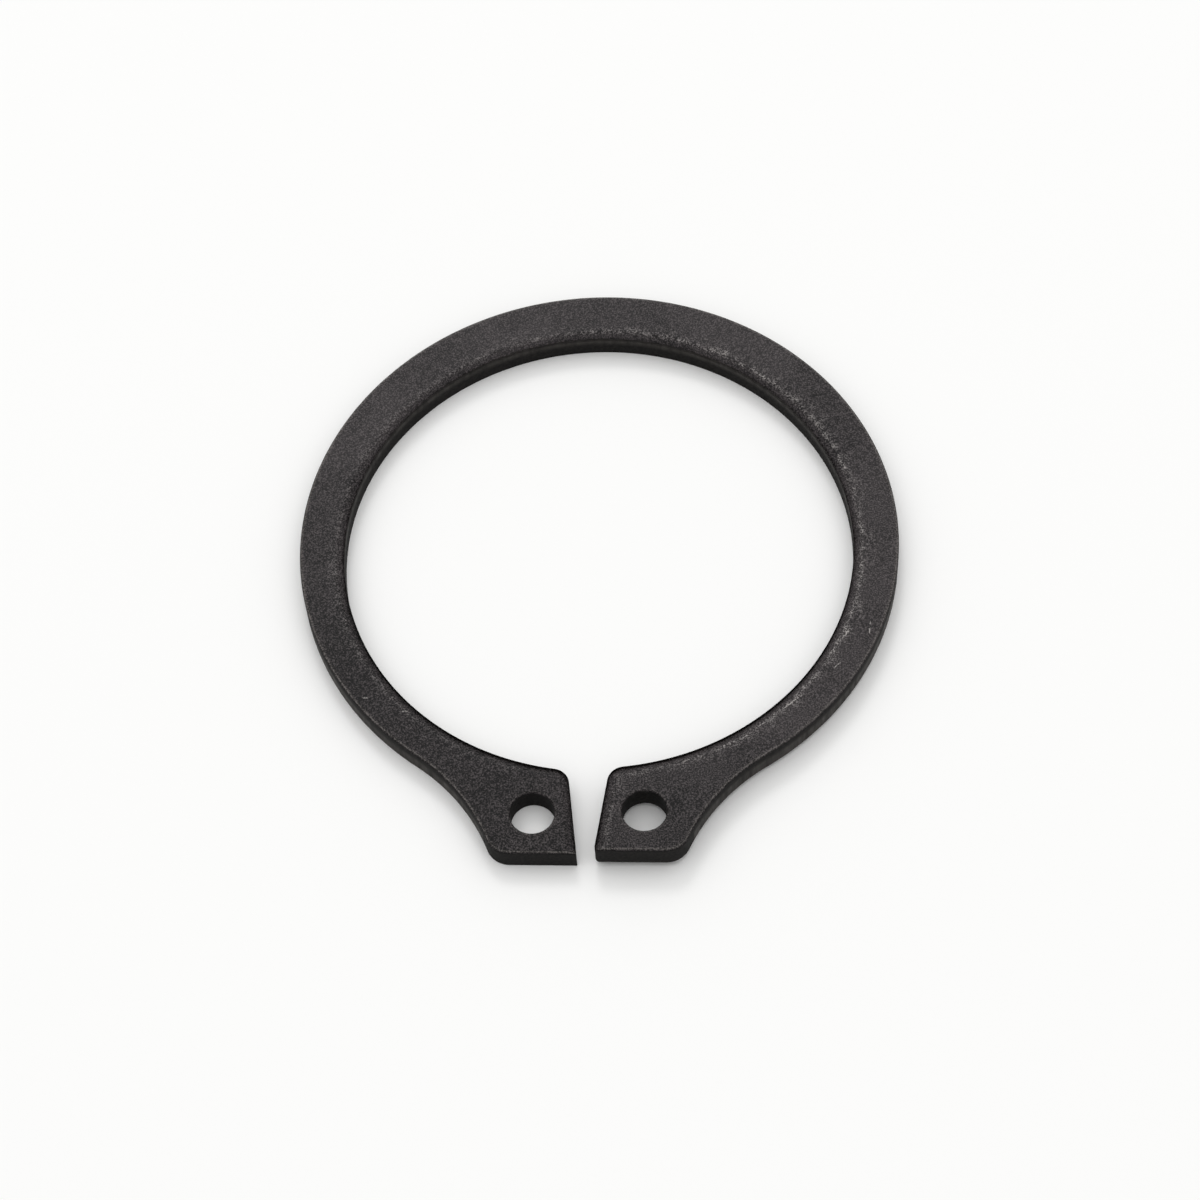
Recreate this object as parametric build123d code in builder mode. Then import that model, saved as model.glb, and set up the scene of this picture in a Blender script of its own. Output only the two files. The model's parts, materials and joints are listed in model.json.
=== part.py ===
"""External retaining ring (circlip) for a 32 mm shaft, stamped from spring strip.

One piece: an eccentric beam that is widest opposite the gap, and two lugs with
plier holes. The bore axis is Z, the gap faces -Y and the underside is at Z = 0.
The ring has a slight axial set, so that its +X lug stands off the surface that
the rest of the ring lies on. All sizes are in millimetres.
"""

from build123d import *
from math import degrees, sqrt
import os

# Ring body
bore_radius = 14.8  # free bore of 29.6 mm, which springs open onto the groove of a 32 mm shaft
thickness = 1.5
beam_width_far = 3.1  # opposite the gap
beam_width_side = 2.62  # at right angles to the gap

# Gap between the lugs
gap_at_bore = 2.45
gap_at_front = 1.05
gap_root_round = 1.0

# Lugs
lug_reach = 5.2  # from the bore circle to the lugs' straight front edges
lug_half_span = 5.3  # from the centre line to where front edge and flank would meet
lug_corner_round = 1.4
flank_radius = 12.0  # hollow curve that runs from the beam out to each lug

# Plier holes
plier_hole_radius = 1.25
plier_hole_spacing = 6.25  # centre to centre
plier_hole_inset = 2.7  # from the bore circle to the hole centres

# Axial set: the +X arm bends upwards about a line parallel to X
set_rise = 0.42  # at the plier hole
set_start = 8.0  # Y at which the arm starts to leave the surface
set_bend_length = 12.0  # stretch over which it bends, straight after that

# Edges of the upper face that the press drew down: along the bore and gap, and round the holes
die_roll_depth = 0.3
die_roll_width = 0.55
hole_rim_round = 0.15

cut_overrun = 1.0  # how far a cut runs past what it cuts
tolerance = 0.001  # for picking edges and faces by their radius

# Places that follow from the sizes above
outer_radius = bore_radius + beam_width_side
outer_offset = beam_width_far - beam_width_side
front_y = -(bore_radius + lug_reach)
hole_y = -(bore_radius + plier_hole_inset)

# The flank curve touches the rim and ends at the lug corner, which fixes its centre
lug_corner = Vector(lug_half_span, front_y)
rim_centre = Vector(0, outer_offset)
corner_distance = (lug_corner - rim_centre).length
centre_distance = outer_radius + flank_radius
along = (corner_distance**2 + centre_distance**2 - flank_radius**2) / (2 * corner_distance)
across = sqrt(centre_distance**2 - along**2)
toward_corner = (lug_corner - rim_centre).normalized()
flank_centre = rim_centre + toward_corner * along + toward_corner.rotate(Axis.Z, 90) * across
rim_touch = rim_centre + (flank_centre - rim_centre).normalized() * outer_radius

# Half widths of the gap cut at its two ends, past the front edge and inside the bore
gap_taper = (gap_at_bore - gap_at_front) / 2 / lug_reach
half_gap_outside = gap_at_front / 2 - gap_taper * cut_overrun
half_gap_inside = gap_at_bore / 2 + gap_taper * cut_overrun

# Plan outline
with BuildSketch() as plan:
    with BuildLine():
        Line((0, front_y), lug_corner)
        RadiusArc(lug_corner, rim_touch, flank_radius)
        ThreePointArc(
            rim_touch, (outer_radius, outer_offset), (0, outer_offset + outer_radius)
        )
        mirror(about=Plane.YZ)
    make_face()
    Circle(bore_radius, mode=Mode.SUBTRACT)
    with BuildLine():
        Polyline(
            (half_gap_outside, front_y - cut_overrun),
            (half_gap_inside, cut_overrun - bore_radius),
            (-half_gap_inside, cut_overrun - bore_radius),
            (-half_gap_outside, front_y - cut_overrun),
            close=True,
        )
    make_face(mode=Mode.SUBTRACT)
    front_corners = plan.vertices().group_by(Axis.Y)[0].sort_by(Axis.X)
    gap_roots = plan.vertices().filter_by(
        lambda corner: abs(Vector(corner).length - bore_radius) < tolerance
    )
    fillet([front_corners[0], front_corners[-1]], radius=lug_corner_round)
    fillet(gap_roots, radius=gap_root_round)
    with Locations((plier_hole_spacing / 2, hole_y), (-plier_hole_spacing / 2, hole_y)):
        Circle(plier_hole_radius, mode=Mode.SUBTRACT)

# The strip is flat on the -X side and has the set on the +X side. Both halves are flat where
# they meet, opposite the gap, and the plan outline is cut through them along Z.
set_angle = set_rise / (set_bend_length / 2 + set_start - set_bend_length - hole_y)
strip_reach = 2 * outer_radius

with BuildPart() as retaining_ring:
    with BuildSketch(Plane.YZ):
        with Locations((0, thickness / 2)):
            Rectangle(2 * strip_reach, thickness)
    extrude(amount=-strip_reach)
    with BuildSketch(Plane.YZ):
        with BuildLine():
            flat_run = Line((strip_reach, 0), (set_start, 0))
            bend = JernArc(
                flat_run @ 1,
                flat_run % 1,
                radius=set_bend_length / set_angle,
                arc_size=-degrees(set_angle),
            )
            Line(bend @ 1, bend @ 1 + (bend % 1) * strip_reach)
            offset(amount=thickness, side=Side.RIGHT)
        make_face()
    extrude(amount=strip_reach)
    extrude(plan.sketch, amount=strip_reach, both=True, mode=Mode.INTERSECT)

    # The die roll follows the bore edge round the gap roots and out along the gap sides
    upper_face = faces().filter_by(Axis.Z).sort_by(Axis.Z)[-1]
    bore_edge = upper_face.edges().filter_by(GeomType.CIRCLE).filter_by(
        lambda edge: abs(edge.radius - bore_radius) < tolerance
    )[0]
    chamfer(bore_edge, length=die_roll_width, length2=die_roll_depth, reference=upper_face)
    hole_walls = faces().filter_by(GeomType.CYLINDER).filter_by(
        lambda face: abs(face.radius - plier_hole_radius) < tolerance
    )
    fillet([wall.edges().sort_by(Axis.Z)[-1] for wall in hole_walls], radius=hole_rim_round)

retaining_ring.part.label = "retaining_ring"
os.makedirs("parts", exist_ok=True)
export_step(retaining_ring.part, "parts/retaining_ring.step")
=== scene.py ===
import json
from math import atan2, cos, pi, radians, sin, sqrt

import bmesh
import bpy
from mathutils import Matrix, Vector, kdtree, noise


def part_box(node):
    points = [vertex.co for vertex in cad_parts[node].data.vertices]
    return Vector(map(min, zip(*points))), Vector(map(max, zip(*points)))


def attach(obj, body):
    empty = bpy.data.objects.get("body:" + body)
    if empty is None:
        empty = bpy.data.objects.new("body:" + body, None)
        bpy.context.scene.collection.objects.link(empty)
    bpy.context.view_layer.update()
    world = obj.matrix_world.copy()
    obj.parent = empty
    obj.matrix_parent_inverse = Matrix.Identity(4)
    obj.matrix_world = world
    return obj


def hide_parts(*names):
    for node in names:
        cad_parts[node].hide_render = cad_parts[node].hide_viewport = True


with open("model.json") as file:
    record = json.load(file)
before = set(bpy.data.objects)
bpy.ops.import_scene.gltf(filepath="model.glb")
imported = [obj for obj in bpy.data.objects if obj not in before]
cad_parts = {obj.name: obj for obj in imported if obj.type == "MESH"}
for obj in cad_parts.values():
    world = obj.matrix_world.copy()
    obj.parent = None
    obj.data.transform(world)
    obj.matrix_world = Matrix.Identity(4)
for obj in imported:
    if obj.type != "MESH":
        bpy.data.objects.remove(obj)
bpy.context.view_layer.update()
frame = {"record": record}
mounts = {mount["name"]: mount for mount in frame["record"]["mounts"]}
mm = 0.001  # in metres
tiny = 0.001  # mm, points this near each other are one
onEdge = 0.01  # mm, a point this near an edge is on it


def inLinear(hexColour):
    # sRGB hex to the linear values that shader sockets take
    channels = [int(hexColour[i:i + 2], 16) / 255 for i in (1, 3, 5)]
    return [c / 12.92 if c <= 0.04045 else ((c + 0.055) / 1.055) ** 2.4 for c in channels] + [1]


def addNode(tree, kind, settings=None, links=None):
    # settings: an attribute, or a socket by its name or number, and its value
    # links: a socket, and the output that feeds it, or a node for its first output
    node = tree.nodes.new(kind)
    for key, value in (settings or {}).items():
        if isinstance(key, str) and hasattr(node, key):
            setattr(node, key, value)
        else:
            node.inputs[key].default_value = value
    for key, source in (links or {}).items():
        output = source.outputs[0] if isinstance(source, bpy.types.Node) else source
        tree.links.new(output, node.inputs[key])
    return node


def addObject(name, data):
    thing = bpy.data.objects.new(name, data)
    bpy.context.scene.collection.objects.link(thing)
    return thing


def newMaterial(name):
    material = bpy.data.materials.new(name)
    material.use_nodes = True
    material.node_tree.nodes.clear()
    return material, material.node_tree


view = {
    "distance": 197.5,  # mm from the bore axis
    "elevation": 58.0,  # degrees
    "azimuth": 5.65,
    "aim": (0.13, -2.77, 0),  # mm, the point in the middle of the view
    "roll": -4.6,
    "lens": 101.35,
    "sensor": 36,
    "clipStart": 0.01,  # metres
}


def directionTo(azimuth, elevation):
    # degrees round from the front, and up from the floor
    turned, raised = radians(azimuth), radians(elevation)
    return Vector((sin(turned) * cos(raised), -cos(turned) * cos(raised), sin(raised)))


def placeCamera():
    camera = addObject("camera", bpy.data.cameras.new("camera"))
    spot = directionTo(view["azimuth"], view["elevation"]) * view["distance"] * mm
    aim = Vector(view["aim"]) * mm
    turn = (aim - spot).to_track_quat("-Z", "Y").to_matrix()
    turn = turn @ Matrix.Rotation(radians(view["roll"]), 3, "Z")
    camera.matrix_world = Matrix.Translation(spot) @ turn.to_4x4()
    camera.data.lens = view["lens"]
    camera.data.sensor_width = view["sensor"]
    camera.data.clip_start = view["clipStart"]
    bpy.context.scene.camera = camera


placeCamera()
print("camera placed")


studio = {
    "floorSize": 4.0,  # metres
    "floorColour": "#FCFCFB",
    "skyColour": "#FFFFFF",
    "skyHorizon": 0.26,  # light from all round, more of it from straight above
    "skyZenith": 1.56,
    "skyLean": 0.32,  # how much brighter it is behind the ring than in front
    "keyStrength": 7.2,  # brightness of the soft box, where 1 is white
    "keySize": 0.28,  # metres
    "keyDistance": 1.2,
    "keyAzimuth": 190,  # degrees, 180 is straight behind the ring
    "keyElevation": 50,
}


def makeFloor():
    shape = bmesh.new()
    bmesh.ops.create_grid(shape, x_segments=1, y_segments=1, size=studio["floorSize"] / 2)
    mesh = bpy.data.meshes.new("floor")
    shape.to_mesh(mesh)
    shape.free()
    floor = addObject("floor", mesh)
    # matt white card, which gives soft shadows and no shine
    material, tree = newMaterial("white card")
    paint = addNode(tree, "ShaderNodeBsdfPrincipled", {
        "Base Color": inLinear(studio["floorColour"]), "Roughness": 1, "Specular IOR Level": 0,
    })
    addNode(tree, "ShaderNodeOutputMaterial", links={0: paint})
    mesh.materials.append(material)


def lightTheStage():
    world = bpy.data.worlds.new("studio")
    bpy.context.scene.world = world
    world.use_nodes = True
    tree = world.node_tree
    tree.nodes.clear()
    # brighter towards the zenith and towards the back, but plain white to the eye and in gloss
    direction = addNode(tree, "ShaderNodeTexCoord").outputs["Generated"]
    direction = addNode(tree, "ShaderNodeSeparateXYZ", links={0: direction})
    height = direction.outputs["Z"]
    height = addNode(tree, "ShaderNodeMath", {"operation": "MULTIPLY"}, {0: height, 1: height})
    height = addNode(
        tree, "ShaderNodeMapRange", {3: studio["skyHorizon"], 4: studio["skyZenith"]}, {0: height}
    )
    lean = studio["skyLean"]
    lean = addNode(
        tree, "ShaderNodeMapRange", {1: -1, 3: 1 - lean, 4: 1 + lean}, {0: direction.outputs["Y"]}
    )
    light = addNode(tree, "ShaderNodeMath", {"operation": "MULTIPLY"}, {0: height, 1: lean})
    rays = addNode(tree, "ShaderNodeLightPath")
    plain = rays.outputs["Is Camera Ray"]
    for kind in ("Is Glossy Ray", "Is Transmission Ray"):
        plain = addNode(
            tree, "ShaderNodeMath", {"operation": "ADD"}, {0: plain, 1: rays.outputs[kind]}
        )
    strength = addNode(tree, "ShaderNodeMix", {3: 1.0}, {0: plain, 2: light})
    sky = addNode(
        tree, "ShaderNodeBackground", {0: inLinear(studio["skyColour"])}, {1: strength}
    )
    addNode(tree, "ShaderNodeOutputWorld", links={0: sky})

    lamp = bpy.data.lights.new("key soft box", "AREA")
    lamp.shape = "SQUARE"
    lamp.size = studio["keySize"]
    lamp.energy = studio["keyStrength"] * pi * studio["keySize"] ** 2
    box = addObject("key soft box", lamp)
    box.location = (
        directionTo(studio["keyAzimuth"], studio["keyElevation"]) * studio["keyDistance"]
    )
    box.rotation_euler = box.location.to_track_quat("Z", "Y").to_euler()


makeFloor()
lightTheStage()
bpy.context.scene.view_settings.view_transform = "Standard"
print("stage lit")


# the ring's shape, in millimetres until its mesh is finished
ring = {
    # the two sides of the gap, on the +X lug and the -X lug: how far each is from the middle at
    # the bore and at the front, and the radius of its corner at the front
    "gapSides": ((1.11, 0.4, 0.25), (1.23, 0.58, 0.06)),
    "gapRootRound": 1.0,
    "lugHalfSpan": 5.3,
    "lugCornerRound": 1.4,
    "flankRadius": 12.0,
    "smallestRound": 0.005,
    "setStart": 8.0,  # Y where the +X arm starts to leave the floor
    "setBendLength": 12.0,
    # the edge that the press drew down along the bore and the gap
    "rollDepth": 0.3,
    "rollWidth": 0.62,
    "rollPower": 2.2,
    "rollWander": 0.15,  # how much its width wanders, and how fast
    "rollWanderRate": 0.9,
    "rollFromFront": 0.25,  # where it starts, behind the front edge
    "holeRollDepth": 0.03,
    "holeRollWidth": 0.12,
    "edgeRound": 0.13,
    "burrRound": 0.03,  # edges of the underside
    "waviness": 0.01,  # of the upper face, and how fast
    "wavinessRate": 0.35,
    "steps": {
        "rim": 210, "flank": 50, "corner": 16, "front": 16, "gapCorner": 6, "gapSide": 22,
        "gapRoot": 12, "bore": 230, "hole": 64,
    },
    # bands along the edges, how far in each one ends, and cuts across the rest
    "insets": (0.02, 0.05, 0.09, 0.15, 0.23, 0.32, 0.41, 0.5, 0.58, 0.66),
    "holeInsets": (0.02, 0.05, 0.1, 0.17, 0.24),
    "gridStep": 0.7,
    "wallLevels": (0.1, 0.5, 0.75, 1.1, 1.42),
    "burnishSplit": 0.75,  # the wall level where a sheared wall turns from burnished to torn
    "wearPlace": 0.1,  # inside the plain edges, where their rounding starts
    "wearSpread": 0.06,
    "rimWear": 0.25,  # of the holes, where the plain edges have 1
    "boreWear": 0.6,  # of the bore's edge, opposite the gap
    "burrGlint": 1.0,  # painted highlight along the lower edge of the lug that stands off the floor, shown as bare steel
    # painted highlight on the crest where the drawn-down edge starts, stronger on the +X side; its
    # place and spread are in shares of the edge's width
    "crestPlace": 0.85,
    "crestSpread": 0.36,
    "crestHighlightSides": (0.38, 1.12),  # how strongly it is painted on the -X side and the +X side
    "lugGlint": 0.6,  # the share of that on the +X lug, and the Y between which it drops to it
    "lugGlintFrom": -12.0,
    "lugGlintTo": -15.5,
    "sharpAngle": 50,  # degrees
}

nodeLow, nodeHigh = (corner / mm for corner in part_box("retaining_ring"))
boreRadius = mounts["shaft"]["dims"]["r_mm"]
thickness = mounts["thrust_face"]["pos_m"][2] / mm
outerRadius = nodeHigh.x
rimCentre = Vector((0, nodeHigh.y - outerRadius, 0))
frontY = nodeLow.y
holeRadius = mounts["plier_hole_right"]["dims"]["r_mm"]
holeCentre = Vector(mounts["plier_hole_right"]["pos_m"]) / mm
holeCentre.z = 0


def circlesMeet(centreA, radiusA, centreB, radiusB):
    # where two circles cross, on the right of the line from A to B
    along = (centreB - centreA).normalized()
    apart = (centreB - centreA).length
    near = (apart**2 + radiusA**2 - radiusB**2) / (2 * apart)
    side = Vector((along.y, -along.x, 0)) * sqrt(radiusA**2 - near**2)
    return centreA + along * near + side


def sweepPoint(shape, start, centre, angle, shift, steps):
    # draws an arc or a line from a point, and gives the point at its end
    spun = bmesh.ops.spin(
        shape, geom=[start], cent=centre, axis=(0, 0, 1), angle=angle, dvec=shift / steps,
        steps=steps, use_merge=False, use_duplicate=False,
    )
    return [part for part in spun["geom_last"] if isinstance(part, bmesh.types.BMVert)][0]


def arcTo(shape, start, centre, end, clockwise, steps):
    # as far as the direction of the end point
    first, last = start.co - centre, end - centre
    angle = atan2(last.y, last.x) - atan2(first.y, first.x)
    angle = -(-angle % (2 * pi)) if clockwise else angle % (2 * pi)
    return sweepPoint(shape, start, centre, angle, Vector(), steps)


def lineTo(shape, start, end, steps):
    return sweepPoint(shape, start, Vector(), 0, end - start.co, steps)


def drawHalf(shape, inset, gapAtBore, gapAtFront, gapCornerRound):
    # from the middle of the far rim, clockwise round the +X half, and back along the bore, this
    # far inside the ring's own outline
    flankRadius, cornerRound = ring["flankRadius"], ring["lugCornerRound"]
    lugCorner = Vector((ring["lugHalfSpan"], frontY, 0))
    flankCentre = circlesMeet(lugCorner, flankRadius, rimCentre, outerRadius + flankRadius)
    rimTouch = rimCentre + (flankCentre - rimCentre).normalized() * (outerRadius - inset)
    cornerY = frontY + cornerRound
    reach = flankRadius + cornerRound
    cornerCentre = Vector((
        flankCentre.x - sqrt(reach**2 - (cornerY - flankCentre.y) ** 2), cornerY, 0
    ))
    flankEnd = flankCentre + (cornerCentre - flankCentre).normalized() * (flankRadius + inset)

    gapFront = Vector((gapAtFront, frontY, 0))
    gapBore = Vector((gapAtBore, -boreRadius, 0))
    gapAlong = (gapBore - gapFront).normalized()
    gapSide = Vector((gapAlong.y, -gapAlong.x, 0))  # points into the lug
    rootRound = ring["gapRootRound"]
    offset = gapFront + gapSide * rootRound
    middle = -offset.dot(gapAlong)
    rootReach = boreRadius + rootRound
    rootCentre = offset + gapAlong * (
        middle - sqrt(rootReach**2 - (offset + gapAlong * middle).length_squared)
    )
    rootStart = rootCentre - gapSide * (rootRound - inset)
    tipRound = max(gapCornerRound - inset, ring["smallestRound"])
    tipCentre = gapFront + gapSide * (inset + tipRound)
    tipCentre += gapAlong * ((frontY + inset + tipRound - tipCentre.y) / gapAlong.y)
    tipStart = Vector((tipCentre.x, frontY + inset, 0))

    steps = ring["steps"]
    start = rimCentre + Vector((0, outerRadius - inset, 0))
    point = bmesh.ops.create_vert(shape, co=start)["vert"][0]
    point = arcTo(shape, point, rimCentre, rimTouch, True, steps["rim"])
    point = arcTo(shape, point, flankCentre, flankEnd, False, steps["flank"])
    cornerEnd = cornerCentre + Vector((0, -1, 0))
    point = arcTo(shape, point, cornerCentre, cornerEnd, True, steps["corner"])
    point = lineTo(shape, point, tipStart, steps["front"])
    point = arcTo(shape, point, tipCentre, tipCentre - gapSide, True, steps["gapCorner"])
    point = lineTo(shape, point, rootStart, steps["gapSide"])
    point = arcTo(shape, point, rootCentre, Vector(), True, steps["gapRoot"])
    arcTo(shape, point, Vector(), Vector((0, 1, 0)), False, steps["bore"])


def drawOutline(blank, inset):
    for sign, gapSide in zip((1, -1), ring["gapSides"]):
        half = bmesh.new()
        drawHalf(half, inset, *gapSide)
        bmesh.ops.scale(half, vec=(sign, 1, 1), verts=half.verts)
        drawn = bpy.data.meshes.new("half outline")
        half.to_mesh(drawn)
        half.free()
        blank.from_mesh(drawn)
        bpy.data.meshes.remove(drawn)
    ends = [vert for vert in blank.verts if abs(vert.co.x) < tiny]
    bmesh.ops.remove_doubles(blank, verts=ends, dist=tiny)


def drawHole(blank, inset, sign):
    bmesh.ops.create_circle(
        blank, radius=holeRadius + inset, segments=ring["steps"]["hole"],
        matrix=Matrix.Translation((sign * holeCentre.x, holeCentre.y, 0)),
    )


def addBands(blank, draw, insets):
    # an outline, joined to copies of itself further and further inside the metal. Each copy is
    # drawn on its own level, or its band could twist, and flattened afterwards.
    draw(0)
    outer = [edge for edge in blank.edges if edge.is_wire]
    for level, inset in enumerate(insets, 1):
        draw(inset)
        inner = [edge for edge in blank.edges if edge.is_wire and edge not in set(outer)]
        points = dict.fromkeys(vert for edge in inner for vert in edge.verts)
        bmesh.ops.translate(blank, verts=list(points), vec=(0, 0, level))
        bmesh.ops.bridge_loops(blank, edges=outer + inner)
        outer = inner
    bmesh.ops.scale(blank, vec=(1, 1, 0), verts=blank.verts)
    return outer


def rollOf(point):
    # how the press left the upper edge nearest to this place: plain, drawn down, or a hole's rim
    for sign in (1, -1):
        fromHole = (point - Vector((sign * holeCentre.x, holeCentre.y, 0))).length
        if fromHole < holeRadius + onEdge:
            return "hole"
    gapReach = ring["gapSides"][1][0] + ring["gapRootRound"]
    inGap = abs(point.x) < gapReach and frontY + ring["rollFromFront"] < point.y < 0
    return "roll" if inGap or point.xy.length < boreRadius + onEdge else "plain"


def edgeTrees(blank):
    trees = {}
    edges = [vert.co.copy() for vert in blank.verts if vert.is_boundary]
    for kind in ("plain", "roll", "hole"):
        spots = [spot for spot in edges if rollOf(spot) == kind]
        trees[kind] = kdtree.KDTree(len(spots))
        for i, spot in enumerate(spots):
            trees[kind].insert(spot, i)
        trees[kind].balance()
    return trees


def withEdgesAndPoints(faces):
    # each once, and in the same order on every run, which a set doesn't keep
    parts = dict.fromkeys(faces)
    for face in faces:
        parts.update(dict.fromkeys([*face.edges, *face.verts]))
    return list(parts)


def makeBlank():
    # the flat blank: narrow bands along every edge, and a grid across the middle
    blank = bmesh.new()
    inner = addBands(blank, lambda inset: drawOutline(blank, inset), ring["insets"])
    for sign in (1, -1):
        inner += addBands(blank, lambda inset: drawHole(blank, inset, sign), ring["holeInsets"])
    filled = bmesh.ops.triangle_fill(blank, use_beauty=True, edges=inner, normal=(0, 0, 1))
    middle = [part for part in filled["geom"] if isinstance(part, bmesh.types.BMFace)]
    for axis in (0, 1):
        normal = Vector((axis == 0, axis == 1, 0))
        place = nodeLow[axis]
        while place < nodeHigh[axis]:
            cut = bmesh.ops.bisect_plane(
                blank, geom=withEdgesAndPoints(middle), dist=tiny, plane_co=normal * place,
                plane_no=normal,
            )
            middle = [part for part in cut["geom"] if isinstance(part, bmesh.types.BMFace)]
            place += ring["gridStep"]
    bmesh.ops.remove_doubles(blank, verts=blank.verts, dist=2 * tiny)
    return blank


def nearest(tree, spot):
    return tree.find(spot)[2]


def shareBetween(value, first, last):
    # 0 at the first and before it, 1 at the last and past it
    return min(1, max(0, (value - first) / (last - first)))


def hump(value, place, reach):
    # 1 at a place, and down to 0 at this reach on either side
    return max(0, 1 - abs(value - place) / reach)


def roundDrop(distance, radius):
    # how far a rounded edge has fallen away at this distance from it
    return radius - sqrt(radius**2 - (radius - distance) ** 2) if distance < radius else 0


def rollDrop(distance, depth, width):
    return depth * (1 - distance / width) ** ring["rollPower"] if distance < width else 0


def riseAt(spot):
    # the +X arm's set: flat, then a long gentle bend, then straight up to the lug
    bend = ring["setBendLength"]
    slope = (nodeHigh.z - thickness) / (ring["setStart"] - bend / 2 - frontY)
    past = max(0, ring["setStart"] - spot.y)
    if spot.x < 0 or past == 0:
        return 0
    return slope * past**2 / (2 * bend) if past < bend else slope * (past - bend / 2)


def cutWalls(solid):
    # cuts the walls at each level, and gives their faces
    walls = [face for face in solid.faces if len({round(v.co.z, 3) for v in face.verts}) > 1]
    for level in ring["wallLevels"]:
        cut = bmesh.ops.bisect_plane(
            solid, geom=withEdgesAndPoints(walls), dist=tiny, plane_co=(0, 0, level),
            plane_no=(0, 0, 1),
        )
        walls = [part for part in cut["geom"] if isinstance(part, bmesh.types.BMFace)]
    return walls


def finishPoints(solid, trees):
    # rounds and bends the flat solid, and notes where highlight is painted on it, where it is worn
    # and where burnished
    wearAndGlint = solid.verts.layers.float.new("wearAndGlint")
    crestHighlight = solid.verts.layers.float.new("crestHighlight")
    burnish = solid.verts.layers.float.new("burnish")
    for vert in solid.verts:
        spot = Vector((vert.co.x, vert.co.y, 0))
        plain, roll, hole = (nearest(trees[kind], spot) for kind in ("plain", "roll", "hole"))
        if spot.y > frontY + ring["lugCornerRound"] and hole > onEdge:
            # the blanking punch burnished the outer walls low down, and the bore's punch high up
            high = vert.co.z > ring["burnishSplit"] + onEdge
            vert[burnish] = high if roll < plain else not high
        if vert.co.z > thickness - tiny:
            wander = noise.noise(spot * ring["rollWanderRate"])
            width = ring["rollWidth"] * (1 + ring["rollWander"] * wander)
            vert.co.z -= roundDrop(plain, ring["edgeRound"])
            vert.co.z -= rollDrop(roll, ring["rollDepth"], width)
            vert.co.z -= rollDrop(hole, ring["holeRollDepth"], ring["holeRollWidth"])
            vert.co.z -= roundDrop(roll, ring["burrRound"])
            vert.co.z -= roundDrop(hole, ring["edgeRound"] / 2)
            vert.co.z += ring["waviness"] * noise.noise(spot * ring["wavinessRate"])

            # painted highlight: how light the crest is painted, more on the +X side, less on the
            # +X lug, and none on the -X side of the gap
            least, most = ring["crestHighlightSides"]
            glint = least + (most - least) * shareBetween(spot.x, -boreRadius / 2, boreRadius / 2)
            onLug = shareBetween(spot.y, ring["lugGlintFrom"], ring["lugGlintTo"])
            glint *= 1 - (1 - ring["lugGlint"]) * onLug
            if spot.x < 0 and spot.y < -boreRadius:
                glint = 0
            vert[crestHighlight] = glint * hump(roll / width, ring["crestPlace"], ring["crestSpread"])
            worn = hump(plain, ring["wearPlace"], ring["wearSpread"])
            rimWorn = hump(hole, ring["wearPlace"], ring["wearSpread"]) * ring["rimWear"]
            boreWorn = hump(roll, 0, ring["wearSpread"]) * max(0, spot.y / boreRadius)
            vert[wearAndGlint] = max(worn, rimWorn, boreWorn * ring["boreWear"])
        elif vert.co.z < tiny:
            vert.co.z += roundDrop(min(plain, roll, hole), ring["burrRound"])
            # painted highlight along the underside edge, growing as the +X arm rises off the floor
            if plain < onEdge:
                vert[wearAndGlint] = ring["burrGlint"] * riseAt(spot) / (nodeHigh.z - thickness)
        vert.co.z += riseAt(spot)


def sortByPlace(parts, placeOf):
    # the operators leave their results in another order on each run
    for i, part in enumerate(sorted(parts, key=lambda part: placeOf(part)[:])):
        part.index = i
    parts.sort()


def makeRing():
    solid = makeBlank()
    trees = edgeTrees(solid)
    print("blank cut:", len(solid.faces), "faces")
    geometry = solid.verts[:] + solid.edges[:] + solid.faces[:]
    raised = bmesh.ops.extrude_face_region(solid, geom=geometry, use_keep_orig=True)
    upper = [part for part in raised["geom"] if isinstance(part, bmesh.types.BMVert)]
    bmesh.ops.translate(solid, verts=upper, vec=(0, 0, thickness))
    walls = cutWalls(solid)
    bmesh.ops.recalc_face_normals(solid, faces=solid.faces)
    for face in solid.faces:
        face.smooth = True
    for face in walls:
        face.material_index = 1
    finishPoints(solid, trees)
    sortByPlace(solid.verts, lambda vert: vert.co)
    sortByPlace(solid.faces, lambda face: face.calc_center_median())
    bmesh.ops.scale(solid, vec=(mm, mm, mm), verts=solid.verts)
    mesh = bpy.data.meshes.new("ring body")
    solid.to_mesh(mesh)
    solid.free()
    mesh.set_sharp_from_angle(angle=radians(ring["sharpAngle"]))
    body = addObject("ring_body", mesh)
    mesh.materials.append(makePhosphatedSteel())
    mesh.materials.append(makeShearedSteel())
    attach(body, "root")
    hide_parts("retaining_ring")
    print("ring made:", len(mesh.polygons), "faces")


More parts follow.
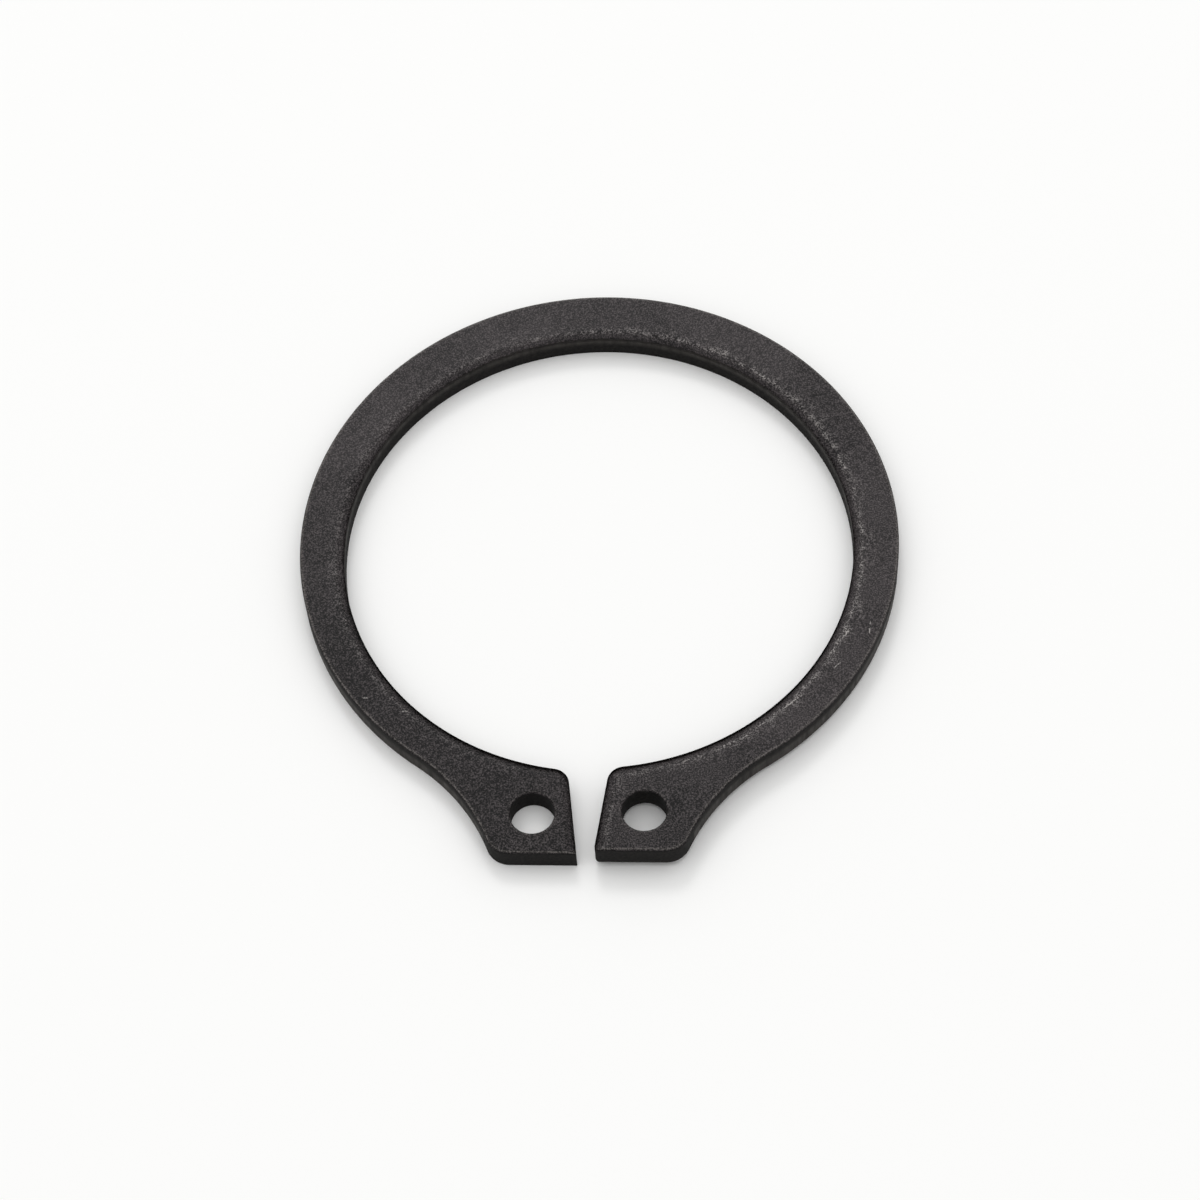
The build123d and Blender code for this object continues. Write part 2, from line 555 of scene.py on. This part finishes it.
coat = {
    # how large each pattern is in mm, the part of its noise that shows, and how much it lightens
    # the coat. Real phosphate crystals are several times smaller, too fine to show.
    "patterns": {
        "crystal": (0.085, (0.44, 0.66), 0.63),
        "cluster": (0.45, (0.35, 0.65), 0.06),
        "patch": (5.0, (0.35, 0.65), 0.12),
    },
    "noiseRoughness": 0.6,
    "dark": "#0B0A0A",
    "light": "#635D5E",
    "paintedShadeDepth": 0.13,  # painted shade: how much darker the coat is painted towards the lugs, most on the -X lug
    "paintedShadeAlong": (0.5, 0.86, 0),
    "paintedShadeFrom": -4.0,  # mm
    "paintedShadeTo": -17.0,
    "roughness": (0.3, 0.46),  # from crystal to crystal
    "roughnessSpan": (0.3, 0.7),
    "gloss": 0.11,
    "bumpHeight": 0.01,  # mm
    # the parts of the noises that show as metal where the coat is worn, and where highlight is
    # painted
    "clumpSpan": (0.35, 0.65),
    "crestSpan": (0.46, 0.66),
    "wornSpan": (0.4, 0.6),
    "wornLeast": 0.2,
    "glintAndWear": "#A8A3A0",  # painted highlight, on the crest of the drawn-down edge and on the light streaks
    "bareSteelAndGlint": "#726E6B",  # crisp edges, where the coat is rubbed through; also the painted highlight under the lug that stands off the floor
    "glintFade": 0.4,  # how sharply a painted light streak fades at its edge
    # painted highlight: light streaks on the upper face, most along the crest of the drawn-down
    # edge; place, direction in degrees, length and width, in mm
    "paintedGlints": (
        (15.68, -5.48, 85, 1.05, 0.1),
        (14.35, -5.88, 57, 0.95, 0.15),
        (13.46, -7.2, 60, 1.0, 0.11),
        (13.8, -8.04, 46, 0.8, 0.08),
        (11.3, -10.45, 41, 1.8, 0.1),
        (9.6, -11.9, 37, 1.3, 0.07),
        (-12.9, -10.24, 0, 0.4, 0.1),
        (-10.6, -11.1, 2, 0.45, 0.09),
    ),
}

shearedWall = {
    "grain": 0.16,  # mm, and the part of its noise that shows
    "grainSpan": (0.4, 0.7),
    "grainDetail": 3,
    "streakWidth": 0.32,  # mm
    "streakSpan": (0.3, 0.7),
    "streakLeast": 0.3,
    "streakSquash": 0.12,  # draws the burnished streaks out along the bore's axis
    "noiseRoughness": 0.6,
    # painted shade: these wall colours are darker than the coat on the faces
    "dark": "#0E0D0D",
    "light": "#242220",
    "burnished": "#3B3835",
    "roughness": (0.75, 0.5),  # torn and burnished
    "gloss": 0.12,
    "bumpHeight": 0.008,  # mm
}


def addPaintedGlints(tree, place):
    # painted highlight: short light streaks on the upper face, most along the crest of the
    # drawn-down edge, each a thin ellipse
    glinted = None
    for x, y, angle, length, width in coat["paintedGlints"]:
        ellipse = addNode(tree, "ShaderNodeMapping", {
            "vector_type": "TEXTURE",
            1: (x * mm, y * mm, (thickness + riseAt(Vector((x, y, 0)))) * mm),
            2: (0, 0, radians(angle)),
            3: (length / 2 * mm, width / 2 * mm, thickness / 2 * mm),
        }, {0: place})
        one = addNode(tree, "ShaderNodeTexGradient", {"gradient_type": "SPHERICAL"}, {0: ellipse})
        one = addNode(
            tree, "ShaderNodeMapRange", {2: coat["glintFade"]}, {0: one.outputs["Fac"]}
        )
        if glinted:
            one = addNode(
                tree, "ShaderNodeMath", {"operation": "MAXIMUM"}, {0: glinted, 1: one}
            )
        glinted = one
    return glinted


def makePhosphatedSteel():
    # zinc phosphated and oiled spring steel: a near black coat of fine crystals with a satin sheen
    material, tree = newMaterial("phosphated spring steel")
    place = addNode(tree, "ShaderNodeTexCoord").outputs["Object"]
    noises, light = {}, None
    for name, (size, (low, high), contrast) in coat["patterns"].items():
        noises[name] = addNode(
            tree, "ShaderNodeTexNoise",
            {"Scale": 1 / (size * mm), "Roughness": coat["noiseRoughness"]}, {0: place},
        )
        more = addNode(
            tree, "ShaderNodeMapRange", {1: low, 2: high, 4: contrast}, {0: noises[name]}
        )
        if light:
            more = addNode(tree, "ShaderNodeMath", {"operation": "ADD"}, {0: light, 1: more})
        light = more
    crystals, clusters = noises["crystal"], noises["cluster"]
    # painted shade: the coat darkens along this direction, towards the lugs and most on the -X lug
    along = addNode(
        tree, "ShaderNodeVectorMath", {"operation": "DOT_PRODUCT", 1: coat["paintedShadeAlong"]},
        {0: place},
    )
    paintedShade = addNode(tree, "ShaderNodeMapRange", {
        1: coat["paintedShadeTo"] * mm, 2: coat["paintedShadeFrom"] * mm, 3: coat["paintedShadeDepth"], 4: 0,
    }, {0: along.outputs["Value"]})
    light = addNode(tree, "ShaderNodeMath", {"operation": "SUBTRACT"}, {0: light, 1: paintedShade})
    colour = addNode(tree, "ShaderNodeMix", {
        "data_type": "RGBA", 6: inLinear(coat["dark"]), 7: inLinear(coat["light"]),
    }, {0: light})

    # the painted highlights and the wear each show only on the crystals that stand up
    crestHighlight = addNode(tree, "ShaderNodeAttribute", {"attribute_name": "crestHighlight"}).outputs["Fac"]
    low, high = coat["clumpSpan"]
    clumps = addNode(tree, "ShaderNodeMapRange", {1: low, 2: high}, {0: clusters})
    crestHighlight = addNode(tree, "ShaderNodeMath", {"operation": "MULTIPLY"}, {0: crestHighlight, 1: clumps})
    wearAndGlint = addNode(tree, "ShaderNodeAttribute", {"attribute_name": "wearAndGlint"}).outputs["Fac"]
    for glintAndWear, (low, high), least, shown in (
        (crestHighlight, coat["crestSpan"], 0, "glintAndWear"),
        (addPaintedGlints(tree, place), coat["wornSpan"], 0, "glintAndWear"),
        (wearAndGlint, coat["wornSpan"], coat["wornLeast"], "bareSteelAndGlint"),
    ):
        standing = addNode(
            tree, "ShaderNodeMapRange", {1: low, 2: high, 3: least}, {0: crystals}
        )
        metalShare = addNode(
            tree, "ShaderNodeMath", {"operation": "MULTIPLY"}, {0: glintAndWear, 1: standing}
        )
        colour = addNode(
            tree, "ShaderNodeMix", {"data_type": "RGBA", 7: inLinear(coat[shown])},
            {0: metalShare, 6: colour.outputs[2]},
        )

    (low, high), (smooth, rough) = coat["roughnessSpan"], coat["roughness"]
    roughness = addNode(
        tree, "ShaderNodeMapRange", {1: low, 2: high, 3: smooth, 4: rough}, {0: crystals}
    )
    bumps = addNode(
        tree, "ShaderNodeBump", {"Distance": coat["bumpHeight"] * mm}, {"Height": crystals}
    )
    steel = addNode(
        tree, "ShaderNodeBsdfPrincipled", {"Specular IOR Level": coat["gloss"]},
        {0: colour.outputs[2], "Metallic": metalShare, "Roughness": roughness, "Normal": bumps},
    )
    addNode(tree, "ShaderNodeOutputMaterial", links={0: steel})
    return material


def makeShearedSteel():
    # the punched walls: torn and matt under the same coat, with real grain and burnished streaks;
    # their colours are also darker than the faces', painted shade on the upright walls
    material, tree = newMaterial("sheared spring steel")
    place = addNode(tree, "ShaderNodeTexCoord").outputs["Object"]
    grain = addNode(tree, "ShaderNodeTexNoise", {
        "Scale": 1 / (shearedWall["grain"] * mm), "Detail": shearedWall["grainDetail"],
        "Roughness": shearedWall["noiseRoughness"],
    }, {0: place})
    low, high = shearedWall["grainSpan"]
    torn = addNode(tree, "ShaderNodeMapRange", {1: low, 2: high}, {0: grain})
    colour = addNode(tree, "ShaderNodeMix", {
        "data_type": "RGBA",
        6: inLinear(shearedWall["dark"]), 7: inLinear(shearedWall["light"]),
    }, {0: torn})

    squash = (1, 1, shearedWall["streakSquash"])
    streaks = addNode(tree, "ShaderNodeMapping", {"Scale": squash}, {0: place})
    streaks = addNode(tree, "ShaderNodeTexNoise", {
        "Scale": 1 / (shearedWall["streakWidth"] * mm),
        "Roughness": shearedWall["noiseRoughness"],
    }, {0: streaks})
    low, high = shearedWall["streakSpan"]
    streaks = addNode(
        tree, "ShaderNodeMapRange", {1: low, 2: high, 3: shearedWall["streakLeast"]},
        {0: streaks},
    )
    smooth = addNode(tree, "ShaderNodeAttribute", {"attribute_name": "burnish"}).outputs["Fac"]
    smooth = addNode(tree, "ShaderNodeMath", {"operation": "MULTIPLY"}, {0: smooth, 1: streaks})
    # worn edges, and the painted highlight under the lug that stands off the floor
    wearAndGlint = addNode(tree, "ShaderNodeAttribute", {"attribute_name": "wearAndGlint"}).outputs["Fac"]
    metalShare = addNode(tree, "ShaderNodeMath", {"operation": "MULTIPLY"}, {0: wearAndGlint, 1: grain})
    for amount, shown in ((smooth, shearedWall["burnished"]), (metalShare, coat["bareSteelAndGlint"])):
        colour = addNode(
            tree, "ShaderNodeMix", {"data_type": "RGBA", 7: inLinear(shown)},
            {0: amount, 6: colour.outputs[2]},
        )

    matt, burnished = shearedWall["roughness"]
    roughness = addNode(tree, "ShaderNodeMapRange", {3: matt, 4: burnished}, {0: smooth})
    bumps = addNode(
        tree, "ShaderNodeBump", {"Distance": shearedWall["bumpHeight"] * mm}, {"Height": grain}
    )
    steel = addNode(
        tree, "ShaderNodeBsdfPrincipled", {"Specular IOR Level": shearedWall["gloss"]},
        {0: colour.outputs[2], "Roughness": roughness, "Normal": bumps},
    )
    addNode(tree, "ShaderNodeOutputMaterial", links={0: steel})
    return material


makeRing()
